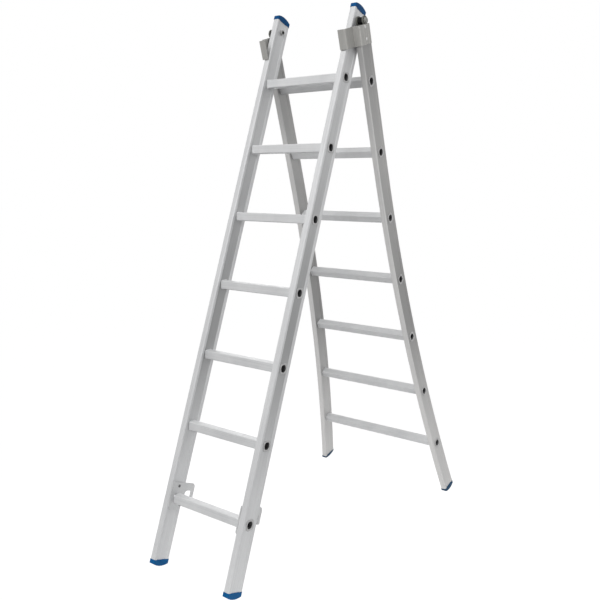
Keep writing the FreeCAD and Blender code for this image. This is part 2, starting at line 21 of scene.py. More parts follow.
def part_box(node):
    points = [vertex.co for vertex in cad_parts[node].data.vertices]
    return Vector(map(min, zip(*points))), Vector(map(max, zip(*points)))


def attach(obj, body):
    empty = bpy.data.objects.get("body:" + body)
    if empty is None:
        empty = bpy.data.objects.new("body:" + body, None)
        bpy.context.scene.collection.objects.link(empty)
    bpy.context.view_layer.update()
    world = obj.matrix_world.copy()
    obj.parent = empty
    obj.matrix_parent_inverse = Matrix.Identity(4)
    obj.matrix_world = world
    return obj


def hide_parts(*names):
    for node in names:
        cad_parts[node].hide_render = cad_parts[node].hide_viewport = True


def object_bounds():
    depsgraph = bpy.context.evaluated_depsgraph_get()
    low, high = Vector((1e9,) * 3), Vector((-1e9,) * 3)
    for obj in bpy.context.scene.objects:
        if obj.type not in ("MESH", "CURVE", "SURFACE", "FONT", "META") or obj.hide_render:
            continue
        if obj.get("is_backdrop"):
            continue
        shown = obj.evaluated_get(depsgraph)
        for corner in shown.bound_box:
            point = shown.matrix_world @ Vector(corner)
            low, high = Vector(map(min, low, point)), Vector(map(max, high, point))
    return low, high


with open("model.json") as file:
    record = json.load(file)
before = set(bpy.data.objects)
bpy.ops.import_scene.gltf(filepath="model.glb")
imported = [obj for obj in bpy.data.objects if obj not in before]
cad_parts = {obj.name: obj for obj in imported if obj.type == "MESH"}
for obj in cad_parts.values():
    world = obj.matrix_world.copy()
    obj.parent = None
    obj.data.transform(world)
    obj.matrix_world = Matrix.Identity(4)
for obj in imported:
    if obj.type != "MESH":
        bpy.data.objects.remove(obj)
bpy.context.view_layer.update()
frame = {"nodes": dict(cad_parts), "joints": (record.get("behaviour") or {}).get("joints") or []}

LOG = logging.getLogger("ladder")
MM = 0.001
LEAN = math.radians(18.75)      # lean of both sections from upright
GROOVE = (21.0, 16.5, 2.0)      # edges of a groove's floor, ahead and behind, and its slope, in mm
CREASE = math.radians(32)       # faces that meet at more than this look sharp
WELD = 1e-6                     # points nearer than this are one, in metres
WHITE = (1.0, 1.0, 1.0, 1.0)
Socket = bpy.types.NodeSocket
Material = bpy.types.Material
Colour = tuple[float, float, float]
Profile = tuple[tuple[float, float], ...]


# The two sections --------------------------------------------------------------------------------

def about_x(back: np.ndarray, up: np.ndarray, turn: float) -> tuple[np.ndarray, np.ndarray]:
    """Y and Z turned about X: (Y cos - Z sin, Y sin + Z cos)."""
    cos, sin = math.cos(turn), math.sin(turn)
    return back * cos - up * sin, back * sin + up * cos


class Part(Enum):
    """The ladder's two sections."""

    FRONT = "front"
    REAR = "rear"


@dataclass(frozen=True)
class Section:
    """A section's own frame: X across, Y towards the back and Z up the stiles from its first rung.

    Attributes:
        part: Which of the two sections it is.
        outer: Distance, in mm, from the middle to the stiles' outer faces where they run straight.
        straight_from: Height, in mm, above which the stiles run straight.
        bend_radius: Radius, in mm, of the flare below that height.
        stile_wide: Width of a stile across the ladder, in mm.
    """

    part: Part
    outer: float
    straight_from: float = 1215.0
    bend_radius: float = 8832.0
    stile_wide: float = 22.0

    @property
    def sign(self) -> int:
        """Which way the section leans: -1 for the front section, 1 for the rear one."""
        return -1 if self.part is Part.FRONT else 1

    @property
    def body(self) -> str:
        """The body that the section's pieces ride on."""
        return f"{self.part.value}_section"

    @property
    def origin(self) -> np.ndarray:
        """The middle of the section's lowest rung."""
        low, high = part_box(f"{self.part.value}_rung_1")
        return (np.array(low) + np.array(high)) / 2

    def place(self, points: np.ndarray) -> np.ndarray:
        """Turns points of the section, in mm, into points of the ladder, in metres.

        Args:
            points: An array whose last axis holds X, Y and Z in the section.

        Returns:
            The same array in the ladder's frame: turned about X by the lean, then moved.
        """
        across, back, up = np.moveaxis(points * MM, -1, 0)
        return self.origin + np.stack([across, *about_x(back, up, self.sign * LEAN)], axis=-1)

    def flare(self, up: float) -> float:
        """How far out the stiles stand at a height of the section, in mm."""
        below = max(self.straight_from - up, 0.0)
        return self.bend_radius - math.sqrt(self.bend_radius ** 2 - below ** 2)

    def reach(self, up: float) -> float:
        """How far the stiles' outer faces are from the middle, in mm, at a height of the section."""
        return self.outer + self.flare(up)

    def tilt(self, up: float) -> float:
        """The stiles' slope at a height of the section, as a tangent."""
        below = max(self.straight_from - up, 0.0)
        return below / math.sqrt(self.bend_radius ** 2 - below ** 2)


FRONT = Section(Part.FRONT, outer=177.0, straight_from=-1e6)
REAR = Section(Part.REAR, outer=207.6)


# Finishes ----------------------------------------------------------------------------------------

class Run(Enum):
    """Which way the fine lines of a drawn or pressed piece run."""

    UP_THE_STILE = (1.0, 1.0, 0.004)
    ALONG_THE_RUNG = (0.006, 1.0, 1.0)
    EVEN = (1.0, 1.0, 1.0)


class Nodes:
    """A short way to lay out and join the nodes of one material, or of the world."""

    def __init__(self, owner: Material | bpy.types.World) -> None:
        """Starts an empty node tree.

        Args:
            owner: The new material or world.
        """
        self.owner = owner
        owner.use_nodes = True
        self.tree = owner.node_tree
        self.tree.nodes.clear()

    def add(self, kind: str, **settings: object) -> bpy.types.Node:
        """Adds a node and sets it up.

        Args:
            kind: The node's type, without the word ShaderNode.
            **settings: Properties of the node, by name.

        Returns:
            The new node.
        """
        node = self.tree.nodes.new(f"ShaderNode{kind}")
        for name, setting in settings.items():
            setattr(node, name, setting)
        return node

    def join(self, socket_out: Socket, socket_in: Socket) -> None:
        """Joins two sockets."""
        self.tree.links.new(socket_out, socket_in)

    def place(self) -> Socket:
        """The place on the piece, in metres of the ladder's frame."""
        return self.add("TexCoord").outputs["Object"]

    def maths(self, operation: str, first: object, second: object = None) -> Socket:
        """A Math node on sockets or plain numbers.

        Args:
            operation: What the node works out.
            first: The first value, as a socket or a number.
            second: The second value, where the operation has one.

        Returns:
            The socket with the result.
        """
        node = self.add("Math", operation=operation)
        for place, item in zip(node.inputs, (first, second)):
            if isinstance(item, Socket):
                self.join(item, place)
            elif item is not None:
                place.default_value = item
        return node.outputs[0]

    def noise(self, vector: Socket, stretch: tuple[float, float, float],
              scale: float, detail: float, roughness: float = 0.5) -> Socket:
        """A noise pattern, stretched along the axes of the given coordinates.

        Args:
            vector: The coordinates, in metres.
            stretch: How much of the scale each axis gets.
            scale: Patches per metre.
            detail: Octaves of finer noise.
            roughness: Share that each octave keeps.

        Returns:
            The socket with the pattern, about 0 to 1.
        """
        mapping = self.add("Mapping")
        self.join(vector, mapping.inputs["Vector"])
        mapping.inputs["Scale"].default_value = stretch
        node = self.add("TexNoise")
        self.join(mapping.outputs["Vector"], node.inputs["Vector"])
        node.inputs["Scale"].default_value = scale
        node.inputs["Detail"].default_value = detail
        node.inputs["Roughness"].default_value = roughness
        return node.outputs["Fac"]

    def spread(self, socket: Socket, low: float, high: float,
               start: float = 0.3, end: float = 0.7) -> Socket:
        """Maps a pattern's range onto other limits.

        Args:
            socket: The pattern.
            low: What the start of the range becomes.
            high: What the end of the range becomes.
            start: Start of the pattern's range.
            end: End of the pattern's range.

        Returns:
            The socket with the mapped pattern.
        """
        node = self.add("MapRange")
        self.join(socket, node.inputs["Value"])
        for name, limit in zip(("From Min", "From Max", "To Min", "To Max"), (start, end, low, high)):
            node.inputs[name].default_value = limit
        return node.outputs["Result"]

    def blend(self, factor: Socket, first: Colour, second: Colour) -> Socket:
        """Mixes two colours by a pattern.

        Args:
            factor: The pattern.
            first: The colour where the pattern is 0.
            second: The colour where it is 1.

        Returns:
            The socket with the mix.
        """
        node = self.add("Mix", data_type="RGBA")
        self.join(factor, node.inputs["Factor"])
        node.inputs["A"].default_value = (*first, 1.0)
        node.inputs["B"].default_value = (*second, 1.0)
        return node.outputs["Result"]


@dataclass(frozen=True)
class Finish:
    """What every finish has.

    Attributes:
        name: The material's name.
        light: Its lighter colour.
        dark: Its darker colour.
        roughness: Mean roughness.
        metallic: Share of metal.
        gloss: Level of the clear reflection over the colour.
        relief: Height of its lines, grain or marks, in metres.
        soft_edge: Radius to which edges look rounded, in metres.
    """

    name: str
    light: Colour
    dark: Colour
    roughness: float = 0.42
    metallic: float = 0.0
    gloss: float = 0.5
    relief: float = 0.00012
    soft_edge: float = 0.0008

    def start(self) -> Nodes:
        """Starts the material."""
        return Nodes(bpy.data.materials.new(self.name))

    def end(self, nodes: Nodes, colour: Socket, matt: Socket, height: Socket,
            strength: float = 0.35) -> Material:
        """Joins the patterns to one shader, on a piece whose edges look slightly rounded.

        Args:
            nodes: The material's nodes.
            colour: The colour.
            matt: The roughness.
            height: The pattern that gives the relief.
            strength: How much of the relief is felt.

        Returns:
            The material.
        """
        edge, bump = nodes.add("Bevel", samples=4), nodes.add("Bump")
        edge.inputs["Radius"].default_value = self.soft_edge
        bump.inputs["Strength"].default_value = strength
        bump.inputs["Distance"].default_value = self.relief
        nodes.join(height, bump.inputs["Height"])
        nodes.join(edge.outputs["Normal"], bump.inputs["Normal"])
        shader = nodes.add("BsdfPrincipled")
        shader.inputs["Metallic"].default_value = self.metallic
        shader.inputs["Specular IOR Level"].default_value = self.gloss
        nodes.join(colour, shader.inputs["Base Color"])
        nodes.join(matt, shader.inputs["Roughness"])
        nodes.join(bump.outputs["Normal"], shader.inputs["Normal"])
        nodes.join(shader.outputs["BSDF"], nodes.add("OutputMaterial").inputs["Surface"])
        return nodes.owner


@dataclass(frozen=True)
class Aluminium(Finish):
    """Drawn or pressed aluminium: fine lines along the piece under a soft satin skin.

    Attributes:
        section: The section whose lean the lines follow.
        run: Which way the lines run.
        lines: Lines per metre.
        groove: Brightness of the grooves at the stile's foot, middle height and top, as shares of
        that of its flanges: painted shade below 1 and painted light above it.
        shade_band: How far that darker band reaches ahead of the stile's middle and behind it, and over
            what length it fades out, in mm.
        fade: Heights of the section, in mm: the share changes from the first to the second, and
            from the third to the fourth.
        top: Brightness of the section's top, as a share of that lower down: painted shade below 1.
        shaded: Heights of the section, in mm, between which that changes.
    """

    metallic: float = 0.28
    section: Section = FRONT
    run: Run = Run.UP_THE_STILE
    lines: float = 620.0
    groove: tuple[float, float, float] = (1.0, 1.0, 1.0)
    shade_band: tuple[float, float, float] = GROOVE
    fade: tuple[float, float, float, float] = (100.0, 560.0, 720.0, 1800.0)
    top: float = 1.0
    shaded: tuple[float, float] = (1250.0, 1600.0)

    def along(self, nodes: Nodes) -> Socket:
        """Coordinates with Z up the stile, and X measured from the flared stile's own middle.

        Below the straight part, the middle moves outwards by the square of the distance from it, over
        twice the bend's radius.

        Args:
            nodes: The material's nodes.

        Returns:
            The socket with the coordinates, in metres.
        """
        turned = self.turned(nodes)
        if self.section.part is Part.FRONT or self.run is not Run.UP_THE_STILE:
            return turned
        low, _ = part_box(f"{self.section.part.value}_rung_1")
        first_up = (Matrix.Rotation(-self.section.sign * LEAN, 3, "X") @ low).z
        split = nodes.add("SeparateXYZ")
        nodes.join(turned, split.inputs["Vector"])
        straight_from = self.section.straight_from * MM + first_up
        below = nodes.maths("SUBTRACT", straight_from, split.outputs["Z"])
        below = nodes.maths("MAXIMUM", below, 0.0)
        out = nodes.maths("MULTIPLY", nodes.maths("POWER", below, 2.0),
                          0.5 / (self.section.bend_radius * MM))
        across = nodes.maths("SUBTRACT", nodes.maths("ABSOLUTE", split.outputs["X"]), out)
        joined = nodes.add("CombineXYZ")
        nodes.join(across, joined.inputs["X"])
        nodes.join(split.outputs["Y"], joined.inputs["Y"])
        nodes.join(split.outputs["Z"], joined.inputs["Z"])
        return joined.outputs["Vector"]

    def turned(self, nodes: Nodes) -> Socket:
        """Coordinates turned by the section's lean, with Z up the stile.

        Args:
            nodes: The material's nodes.

        Returns:
            The socket with the coordinates, in metres.
        """
        mapping = nodes.add("Mapping")
        nodes.join(nodes.place(), mapping.inputs["Vector"])
        mapping.inputs["Rotation"].default_value = (-self.section.sign * LEAN, 0.0, 0.0)
        return mapping.outputs["Vector"]

    def painted_shade_share(self, nodes: Nodes) -> Socket:
        """Painted shade: less brightness in the grooves than on the flanges, and less at the top.

        The share by which a groove is darker grows from the foot to middle height, and eases off
        again towards the top.

        Args:
            nodes: The material's nodes.

        Returns:
            The socket with the share of the colour's brightness that is left.
        """
        split = nodes.add("SeparateXYZ")
        nodes.join(self.turned(nodes), split.inputs["Vector"])
        middle = Matrix.Rotation(-self.section.sign * LEAN, 3, "X") @ Vector(self.section.origin)
        foot, low, high, head, from_up, to_up = (middle.z + height * MM
                                                 for height in (*self.fade, *self.shaded))
        shade = nodes.spread(split.outputs["Z"], 1.0, self.top, from_up, to_up)
        at_foot, at_middle, at_head = (1.0 - share for share in self.groove)
        if at_middle == 0.0:
            return shade
        depth = nodes.spread(split.outputs["Z"], at_foot, at_middle, foot, low)
        ease = nodes.spread(split.outputs["Z"], 1.0, at_head / at_middle, high, head)
        ahead, behind, soft = self.shade_band
        after = nodes.spread(split.outputs["Y"], 0.0, 1.0, middle.y - (ahead + soft) * MM,
                             middle.y - ahead * MM)
        before = nodes.spread(split.outputs["Y"], 1.0, 0.0, middle.y + behind * MM,
                              middle.y + (behind + soft) * MM)
        inside = nodes.maths("MULTIPLY", nodes.maths("MULTIPLY", after, before),
                             nodes.maths("MULTIPLY", depth, ease))
        return nodes.maths("MULTIPLY", nodes.maths("SUBTRACT", 1.0, inside), shade)

    def build(self) -> Material:
        """Builds the material: lines and clouds set its colour, roughness and relief.

        Returns:
            The material.
        """
        nodes = self.start()
        along = self.along(nodes)
        lines = nodes.noise(along, self.run.value, self.lines, detail=3.0, roughness=0.65)
        clouds = nodes.noise(along, (1.0, 1.0, 0.35), scale=14.0, detail=5.0, roughness=0.6)
        scuffs = nodes.noise(along, (1.0, 1.0, 0.2), scale=190.0, detail=4.0, roughness=0.7)
        both = nodes.maths("ADD", nodes.maths("MULTIPLY", lines, 0.6),
                           nodes.maths("MULTIPLY", clouds, 0.4))
        mixed = nodes.spread(both, 0.0, 1.0, start=0.36, end=0.64)
        colour = nodes.blend(mixed, self.dark, self.light)
        # Painted shade: the colour is darkened in the grooves and towards the section's top.
        if min(*self.groove, self.top) < 1.0:
            shaded_colour = nodes.add("VectorMath", operation="SCALE")
            nodes.join(colour, shaded_colour.inputs[0])
            nodes.join(self.painted_shade_share(nodes), shaded_colour.inputs["Scale"])
            colour = shaded_colour.outputs["Vector"]
        matt = nodes.maths("ADD", nodes.spread(clouds, self.roughness - 0.05, self.roughness + 0.05),
                           nodes.spread(scuffs, 0.0, 0.10, start=0.60, end=0.75))
        return self.end(nodes, colour, matt, lines)


@dataclass(frozen=True)
class Moulded(Finish):
    """Moulded plastic with a fine grain and a slight unevenness of colour."""

    gloss: float = 0.04
    soft_edge: float = 0.001

    def build(self) -> Material:
        """Builds the material: grain for the relief, clouds for colour and roughness.

        Returns:
            The material.
        """
        nodes = self.start()
        place = nodes.place()
        clouds = nodes.noise(place, Run.EVEN.value, scale=45.0, detail=4.0)
        grain = nodes.noise(place, Run.EVEN.value, scale=1100.0, detail=2.0)
        colour = nodes.blend(nodes.spread(clouds, 0.0, 1.0), self.dark, self.light)
        matt = nodes.spread(grain, self.roughness - 0.06, self.roughness + 0.06)
        return self.end(nodes, colour, matt, grain)


@dataclass(frozen=True)
class Steel(Finish):
    """Plated or blackened steel, turned or pressed, with small marks."""

    roughness: float = 0.34
    relief: float = 0.00005
    soft_edge: float = 0.0004

    def build(self) -> Material:
        """Builds the material: marks of two sizes for colour, roughness and relief.

        Returns:
            The material.
        """
        nodes = self.start()
        place = nodes.place()
        marks = nodes.noise(place, Run.EVEN.value, scale=420.0, detail=4.0, roughness=0.6)
        fine = nodes.noise(place, Run.EVEN.value, scale=2600.0, detail=2.0)
        colour = nodes.blend(nodes.spread(marks, 0.0, 1.0), self.dark, self.light)
        matt = nodes.spread(marks, self.roughness - 0.08, self.roughness + 0.08)
        return self.end(nodes, colour, matt, fine, strength=0.25)


# Surfaces ----------------------------------------------------------------------------------------

def put(name: str, data: bpy.types.ID) -> bpy.types.Object:
    """Puts a new object into the scene.

    Args:
        name: The object's name.
        data: The mesh, lamp or camera that it holds.

    Returns:
        The object, at the origin.
    """
    thing = bpy.data.objects.new(name, data)
    bpy.context.scene.collection.objects.link(thing)
    return thing


@dataclass
class Skin:
    """The closed surfaces of one piece, gathered as whole arrays.

    Attributes:
        name: The piece's name.
        points: Arrays of points, one for each surface, in metres.
        quads: Arrays of corner numbers, four for each face.
        count: How many points there are so far.
    """

    name: str
    points: list[np.ndarray] = field(default_factory=list)
    quads: list[np.ndarray] = field(default_factory=list)
    count: int = 0

    def add(self, grid: np.ndarray, wrap_rows: bool = True, wrap_columns: bool = True) -> None:
        """Adds a surface given as a grid of points.

        Args:
            grid: Points of the ladder's frame, rows by columns by X, Y and Z.
            wrap_rows: Whether the last row joins the first.
            wrap_columns: Whether the last column joins the first.
        """
        rows, columns = grid.shape[:2]
        numbers = np.arange(rows * columns).reshape(rows, columns) + self.count
        if wrap_rows:
            numbers = np.vstack([numbers, numbers[:1]])
        if wrap_columns:
            numbers = np.hstack([numbers, numbers[:, :1]])
        corners = (numbers[:-1, :-1], numbers[1:, :-1], numbers[1:, 1:], numbers[:-1, 1:])
        self.quads.append(np.stack(corners, axis=-1).reshape(-1, 4))
        self.points.append(grid.reshape(-1, 3))
        self.count += rows * columns

    def make(self, material: Material, section: Section, slot: str,
             replaced: Iterable[str] = (), body: str = "") -> None:
        """Makes the piece, closes its seams and poles, and lets it ride.

        Args:
            material: Its finish.
            section: The section that it belongs to.
            slot: The record's slot that its finish comes from; not used.
            replaced: Nodes of the frame that it stands for.
            body: The body that it rides on, where that isn't the section.
        """
        points, quads = np.concatenate(self.points), np.concatenate(self.quads)
        mesh = bpy.data.meshes.new(self.name)
        mesh.vertices.add(len(points))
        mesh.vertices.foreach_set("co", points.astype(np.float32).ravel())
        mesh.loops.add(quads.size)
        mesh.loops.foreach_set("vertex_index", quads.astype(np.int32).ravel())
        mesh.polygons.add(len(quads))
        mesh.polygons.foreach_set("loop_start", np.arange(0, quads.size, 4, dtype=np.int32))
        mesh.update(calc_edges=True)
        shape = bmesh.new()
        shape.from_mesh(mesh)
        bmesh.ops.remove_doubles(shape, verts=shape.verts, dist=WELD)
        bmesh.ops.recalc_face_normals(shape, faces=shape.faces)
        shape.to_mesh(mesh)
        shape.free()
        mesh.validate()
        mesh.shade_smooth()
        mesh.set_sharp_from_angle(angle=CREASE)
        mesh.materials.append(material)
        piece = put(self.name, mesh)
        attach(piece, body or section.body)
        if replaced:
            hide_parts(*replaced)
        LOG.info("%s: %s", self.name, material.name)


def directions(steps: int) -> np.ndarray:
    """Angles at even steps once round."""
    return np.linspace(0.0, 2 * np.pi, steps, endpoint=False)


def rounded_square(half: float, radius: float, along: np.ndarray) -> np.ndarray:
    """A square with rounded corners, as a closed curve that starts in the middle of a side.

    The way round falls into four equal parts, each a side and the arc after it. A point of a side
    lies at the half side from the middle, and a point of an arc at the radius from its centre.

    Args:
        half: Half of the square's side.
        radius: Radius of its corners.
        along: Shares of the way round, as angles.

    Returns:
        An array of the curve's points, two numbers each.
    """
    flat, arc = 2 * (half - radius), radius * np.pi / 2
    way = along / (2 * np.pi) * 4 * (flat + arc) + flat / 2
    part = np.floor(way / (flat + arc))
    on = way - part * (flat + arc)
    bend = np.maximum(on - flat, 0.0) / radius
    out = half - radius + radius * np.cos(bend)
    beside = np.minimum(on, flat) - flat / 2 + radius * np.sin(bend)
    cos, sin = np.cos(part * np.pi / 2), np.sin(part * np.pi / 2)
    return np.stack([out * cos - beside * sin, out * sin + beside * cos], axis=-1)


def lathed(section: Section, side: int, centre: tuple[float, float], profile: np.ndarray,
           steps: int) -> np.ndarray:
    """A profile turned about an axis across the ladder.

    Point (a, k) lies at a distance profile[k, 0] from the axis, in the direction of angle a, and at
    profile[k, 1] from the ladder's middle.

    Args:
        section: The section that the axis belongs to.
        side: 1 on the right, -1 on the left.
        centre: Where the axis crosses the section's Y and Z, in mm.
        profile: Radius and distance from the middle, in mm, two numbers for each point.
        steps: Steps round the axis.

    Returns:
        A grid of points, steps by profile points.
    """
    angle = directions(steps)[:, None]
    radius, across = profile[None, :, 0], profile[None, :, 1]
    back, up = centre[0] + radius * np.cos(angle), centre[1] + radius * np.sin(angle)
    return section.place(np.stack([side * across + 0 * angle, back, up], axis=-1))


# Sub-assemblies ----------------------------------------------------------------------------------

@dataclass
class Rungs:
    """The rungs of one section: ribbed square tubes with a rolled rim at each end.

    Each rung passes through both stiles, turned in them so that its tread is about level when the
    ladder leans on a wall. Its rims stand on the stiles' outer faces, and collars close the holes at
    the inner faces. Sizes are in mm, and an outline is the half side and the corner radius of a
    rounded square.

    Attributes:
        section: The section that they belong to.
        half, corner, wall: Half of the tube's width, its corners' radius and its wall's thickness.
        turn: How far it is turned about its own length.
        rib_deep, rib_pitch: Depth of its ribs, and distance from rib to rib.
        rib_band: How far the ribs reach from the middle of a side.
        shade_sheet_inset: How far the two skins of the dark painted-shade sheet lie inside the wall.
        shade_sheet_short: How far inside the stiles' outer faces that sheet ends.
        rim, mouth: Outlines of the rims and collars, and of the opening that a rim leaves.
        overlap: How far a collar reaches into the wall.
        rim_profile, collar_profile: Shares of the way from the rim's outline inwards, and heights
            out of the stile's outer or inner face.
        pitch, count: Distance from rung to rung, and how many there are.
        steps, rib_steps: Steps round a plain outline and round the ribbed one.
    """

    section: Section
    half: float = 14.8
    corner: float = 3.6
    wall: float = 1.5
    turn: float = math.radians(17.5)
    rib_deep: float = 0.3
    rib_pitch: float = 2.6
    rib_band: float = 10.4
    shade_sheet_inset: tuple[float, float] = (0.5, 0.3)
    shade_sheet_short: float = 0.8
    rim: tuple[float, float] = (17.2, 9.0)
    mouth: tuple[float, float] = (12.1, 10.7)
    overlap: float = 0.5
    rim_profile: Profile = ((0.0, -1.6), (0.0, 0.1), (0.1, 0.36), (0.3, 0.57), (0.5, 0.6),
                            (0.7, 0.54), (0.9, 0.24), (1.0, -0.4), (1.0, -1.6))
    collar_profile: Profile = ((0.0, 0.8), (0.0, -0.33), (0.12, -0.77), (0.35, -1.045),
                               (0.6, -1.1), (1.0, -1.1), (1.0, 0.8))
    pitch: float = 250.0
    count: int = 7
    steps: int = 96
    rib_steps: int = 288

    def turned(self, ring: np.ndarray) -> np.ndarray:
        """Outline points, as Y and Z in the last axis, turned as the rung is in its stiles."""
        return np.stack(about_x(*np.moveaxis(ring, -1, 0), self.turn), axis=-1)

    def carried(self, up: float, inside: np.ndarray, out: np.ndarray,
                short: float = 0.0) -> np.ndarray:
        """A pipe across the ladder from two outlines, which end in planes along the stiles' faces.

        Args:
            up: Height of the rung in the section, in mm.
            inside: Points of the inner outline.
            out: Points of the outer outline.
            short: How far inside the stiles' outer faces it ends, in mm.

        Returns:
            A grid of points: the four end rings, which lean over by the tangent of the flare.
        """
        inside, out = self.turned(inside), self.turned(out)
        reach, slope = self.section.reach(up) - short, self.section.tilt(up)
        grid = [np.column_stack([end * (reach - ring[:, 1] * slope), ring[:, 0], ring[:, 1] + up])
                for ring, end in ((inside, -1), (out, -1), (out, 1), (inside, 1))]
        return self.section.place(np.stack(grid))

    def bore(self, up: float) -> np.ndarray:
        """Painted shade behind the rims: a thin dark pipe along the tube's inner wall.

        Args:
            up: Height of the rung in the section.

        Returns:
            A grid of points.
        """
        along = directions(self.steps)
        skins = [rounded_square(self.half - self.wall - gap, self.corner - self.wall, along)
                 for gap in self.shade_sheet_inset]
        return self.carried(up, *skins, self.shade_sheet_short)

    def tube(self, up: float) -> np.ndarray:
        """The tube's skin: its ribbed outline outside and a plain one inside, carried along X.

        Outside, a point of the rounded square moves inwards by a raised cosine of the rib pitch
        wherever it lies in the band in the middle of a side.

        Args:
            up: Height of the rung in the section.

        Returns:
            A grid of points.
        """
        along = directions(self.rib_steps)
        out = rounded_square(self.half, self.corner, along)
        off_middle, off_axis = np.min(np.abs(out), axis=-1), np.max(np.abs(out), axis=-1)
        wave = 0.5 - 0.5 * np.cos(2 * np.pi * off_middle / self.rib_pitch)
        dip = self.rib_deep * wave * (off_middle < self.rib_band)
        inwards = np.sign(out) * (np.abs(out) >= off_axis[:, None] - 1e-9)
        inside = rounded_square(self.half - self.wall, self.corner - self.wall, along)
        return self.carried(up, inside, out - inwards * dip[:, None])

    def ring(self, up: float, side: int, face: float, inner: tuple[float, float],
             profile: Profile) -> np.ndarray:
        """A closed profile carried round the rung on a face of the stile.

        Point (a, k) lies between the rim's outline and an inner one in direction a, at the share
        that profile point k gives, and as far out of the face as its second number.

        Args:
            up: Height of the rung in the section, in mm.
            side: Which stile it is on.
            face: How far the face is from the middle, in mm.
            inner: The inner outline.
            profile: Pairs of share and height.

        Returns:
            A grid of points.
        """
        along = directions(self.steps)
        outline, inside = (rounded_square(*shape, along)[:, None, :] for shape in (self.rim, inner))
        share, rise = np.moveaxis(np.array(profile), -1, 0)
        ring = self.turned(outline * (1 - share[None, :, None]) + inside * share[None, :, None])
        out = face + rise[None, :] - ring[..., 1] * self.section.tilt(up)
        return self.section.place(np.stack([side * out, ring[..., 0], ring[..., 1] + up], axis=-1))

    def build(self, finish: Material, rim_finish: Material, shade: Material) -> None:
        """Makes every rung with its rims, collars and a dark sheet of painted shade inside it.

        Args:
            finish: Finish of the tubes and collars.
            rim_finish: Finish of the rims.
            shade: Finish of the painted shade inside the tubes.
        """
        name = self.section.part.value
        rims, collars = Skin(f"{name}_rung_rims"), Skin(f"{name}_rung_collars")
        # Painted shade: a dark sheet inside each tube, where there is only shade.
        shade_sheets = Skin(f"{name}_rung_shade_sheets")
        for number in range(self.count):
            up = number * self.pitch
            face = self.section.reach(up)
            tube = Skin(f"{name}_ribbed_rung_{number + 1}")
            tube.add(self.tube(up))
            tube.make(finish, self.section, "rung", [f"{name}_rung_{number + 1}"])
            shade_sheets.add(self.bore(up))
            for side in (-1, 1):
                rims.add(self.ring(up, side, face, self.mouth, self.rim_profile))
                collars.add(self.ring(up, side, face - self.section.stile_wide,
                                      (self.half - self.overlap, self.corner), self.collar_profile))
        rims.make(rim_finish, self.section, "rung")
        collars.make(finish, self.section, "rung")
        shade_sheets.make(shade, self.section, "rung")


@dataclass
class Rivets:
    """Blind rivets with domed heads, on one section's plates or brackets.

    Attributes:
        name: The piece's name.
        section: The section that they belong to.
        spots: Where they stand, as Y and Z of the section, in mm.
        face: How far the face under their heads is from the middle, in mm.
        outwards: 1 where the heads stand outwards, -1 where they face the middle.
        radius: Radius of a head, in mm.
        rise: Height of a head, in mm.
        brim: Height of its brim, in mm.
        seat: How far it goes into the face under it, in mm.
        dome: Where its dome begins and ends, as shares of its radius.
        dimple: Radius of the pin's dimple, as a share of the head's.
        depth: Depth of the dimple at its edge and in its middle, in mm.
    """

    name: str
    section: Section
    spots: tuple[tuple[float, float], ...]
    face: float
    outwards: int
    radius: float = 5.0
    rise: float = 1.8
    brim: float = 0.35
    seat: float = 0.3
    dome: tuple[float, float] = (0.96, 0.30)
    dimple: float = 0.28
    depth: tuple[float, float] = (0.5, 0.55)

    def build(self, finish: Material, slot: str) -> None:
        """Turns each head: a flat seat, a rounded brim, a low dome and the pin's dimple.

        Args:
            finish: Finish of the heads.
            slot: The record's slot that it comes from.
        """
        arc = np.linspace(0.0, 1.0, 9)
        brim = np.column_stack([self.radius * np.ones(3), [-self.seat, 0.0, self.brim]])
        wide, narrow = self.dome
        dome = np.column_stack([self.radius * (wide - (wide - narrow) * arc),
                                self.brim + (self.rise - self.brim)
                                * np.sqrt(1 - (wide - wide * arc) ** 2)])
        edge, middle = self.depth
        pin = np.array([(self.dimple * self.radius, self.rise - edge), (0.0, self.rise - middle)])
        shape = np.vstack([[(0.0, -self.seat)], brim, dome, pin])
        shape[:, 1] = self.face + self.outwards * shape[:, 1]
        heads = Skin(self.name)
        for side in (-1, 1):
            for spot in self.spots:
                heads.add(lathed(self.section, side, spot, shape, steps=28), wrap_columns=False)
        heads.make(finish, self.section, slot)


